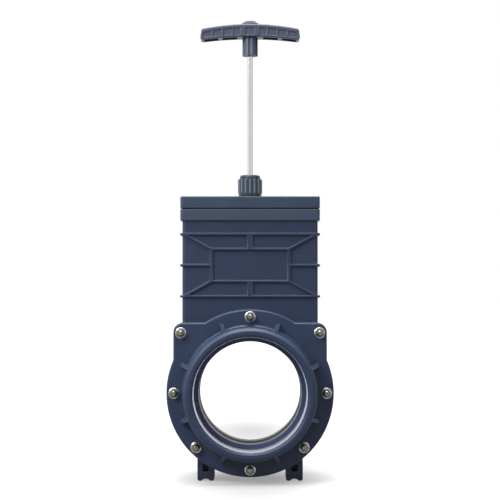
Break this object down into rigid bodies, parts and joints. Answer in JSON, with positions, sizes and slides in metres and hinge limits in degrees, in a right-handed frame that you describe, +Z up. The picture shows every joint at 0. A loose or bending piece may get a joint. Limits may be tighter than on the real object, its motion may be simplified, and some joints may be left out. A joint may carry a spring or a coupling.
{
  "type": "slide gate drain valve",
  "caption": "Plastic slide gate drain valve for a 110 mm pipe, with a ribbed chamber, bolted socket flanges, feet, a steel rod and a T-handle. Shown open.",
  "frame": {"origin": "on the floor, midway between the two feet, in the gate's mid-plane", "axes": "+Z up along the rod, the pipe axis along Y, the face seen in the picture towards -Y"},
  "size_m": [0.1636, 0.146, 0.4565],
  "materials": {
    "housing_plastic": "satin moulded slate blue plastic",
    "handle_plastic": "satin moulded blue-grey plastic",
    "nut_plastic": "semi-gloss moulded teal-grey plastic",
    "gate_plastic": "smooth dark plastic",
    "seal_rubber": "matt black rubber",
    "rod_steel": "drawn stainless steel"
  },
  "bodies": {
    "housing": {"body": "housing_plastic", "front_hub_flange": "housing_plastic", "back_hub_flange": "housing_plastic", "front_flange_gasket": "seal_rubber", "back_flange_gasket": "seal_rubber", "front_gate_seal": "seal_rubber", "back_gate_seal": "seal_rubber", "left_foot_pad": "seal_rubber", "right_foot_pad": "seal_rubber", "cap_gasket": "seal_rubber", "cap": "housing_plastic", "gland_packing": "seal_rubber", "gland_follower": "housing_plastic", "gland_nut": "nut_plastic"},
    "gate_assembly": {"gate": "gate_plastic", "rod": "rod_steel", "handle": "handle_plastic", "handle_plug": "handle_plastic"}
  },
  "joints": [
    {"name": "gate_slide", "type": "slide", "parent": "housing", "child": "gate_assembly", "axis": [0, 0, -1], "range_m": [0, 0.1065]}
  ]
}
